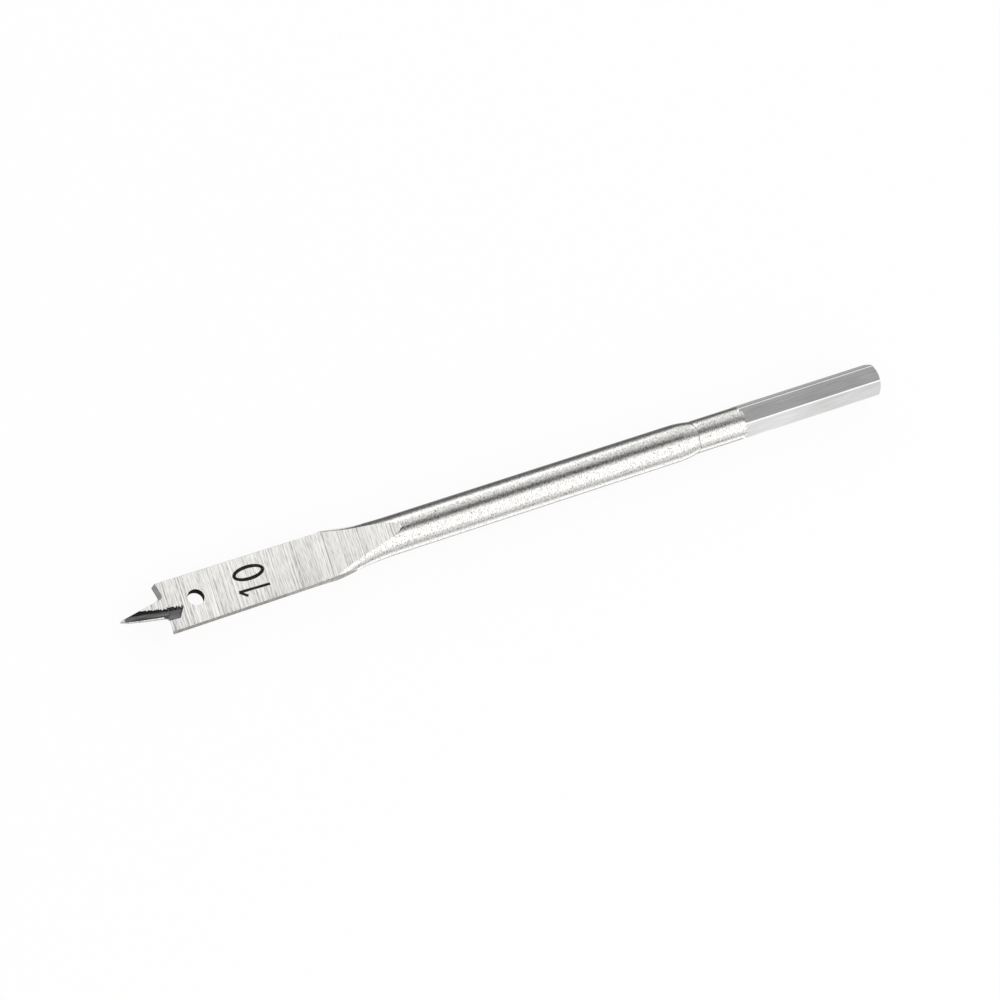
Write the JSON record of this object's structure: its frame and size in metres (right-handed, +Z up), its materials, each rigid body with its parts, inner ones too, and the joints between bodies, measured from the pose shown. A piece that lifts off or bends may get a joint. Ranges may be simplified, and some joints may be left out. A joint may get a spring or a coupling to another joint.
{
  "type": "spade drill bit",
  "caption": "Flat spade bit for boring wood: pointed spur, two ground cutting lips, flat blade with a hanging hole, round shank and hexagonal drive end.",
  "frame": {"origin": "on the surface that the bit lies on, under the middle of its box", "axes": "+X along the bit from its point to the end of its hexagon, +Y across the blade, +Z up out of the blade's upper face"},
  "size_m": [0.165, 0.01, 0.0075],
  "materials": {
    "tool_steel": "ground bright on the blade's faces, satin on the shank"
  },
  "bodies": {
    "root": {"spade_bit": "tool_steel"}
  },
  "joints": []
}
